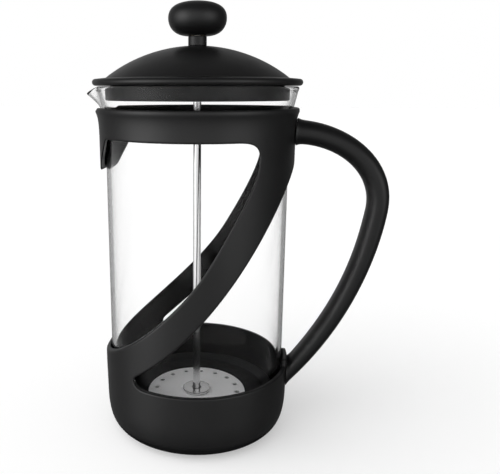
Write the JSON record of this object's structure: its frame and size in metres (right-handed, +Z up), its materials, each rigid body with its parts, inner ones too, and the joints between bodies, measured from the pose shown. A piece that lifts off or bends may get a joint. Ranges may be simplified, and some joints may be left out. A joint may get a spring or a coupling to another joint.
{
  "type": "french press",
  "caption": "Glass press coffee maker in a black frame with diagonal straps, curved side handle, domed lid, and a knobbed plunger with a mesh filter.",
  "frame": {"origin": "on the table, under the middle of the press's bounding box", "axes": "+Z up along the beaker's axis, which is 20.769 mm from the origin towards -X; +X towards the handle, -X towards the pouring spout"},
  "size_m": [0.159, 0.108, 0.2291],
  "materials": {
    "frame_plastic": "satin moulded black",
    "handle_plastic": "satin moulded black",
    "lid_plastic": "satin moulded black",
    "beaker_glass": "clear borosilicate, fire-polished rim",
    "rod_steel": "drawn and polished",
    "filter_steel": "stamped sheet and woven wire",
    "screw_steel": "plated",
    "insert_brass": "turned",
    "seal_rubber": "smooth silicone"
  },
  "bodies": {
    "frame": {"frame": "frame_plastic", "handle": "handle_plastic", "handle_screw_upper": "screw_steel", "handle_screw_lower": "screw_steel"},
    "beaker": {"beaker": "beaker_glass"},
    "lid": {"lid_cover": "lid_plastic", "lid_insert": "lid_plastic", "lid_bush": "lid_plastic", "lid_nut": "lid_plastic"},
    "plunger": {"knob": "lid_plastic", "knob_insert": "insert_brass", "plunger_rod": "rod_steel", "rod_washer": "rod_steel"},
    "filter": {"filter_hub": "filter_steel", "filter_cross_plate": "filter_steel", "filter_mesh": "filter_steel", "filter_seal": "seal_rubber", "filter_top_plate": "filter_steel"}
  },
  "joints": [
    {"name": "beaker_lift", "type": "slide", "parent": "frame", "child": "beaker", "axis": [0, 0, 1], "range_m": [0, 0.18]},
    {"name": "lid_lift", "type": "slide", "parent": "beaker", "child": "lid", "axis": [0, 0, 1], "range_m": [0, 0.185]},
    {"name": "plunger_slide", "type": "slide", "parent": "lid", "child": "plunger", "axis": [0, 0, 1], "range_m": [0, 0.16]},
    {"name": "filter_unscrew", "type": "hinge", "parent": "plunger", "child": "filter", "pos_m": [-0.02077, 0, 0.013], "axis": [0, 0, 1], "continuous": true}
  ]
}
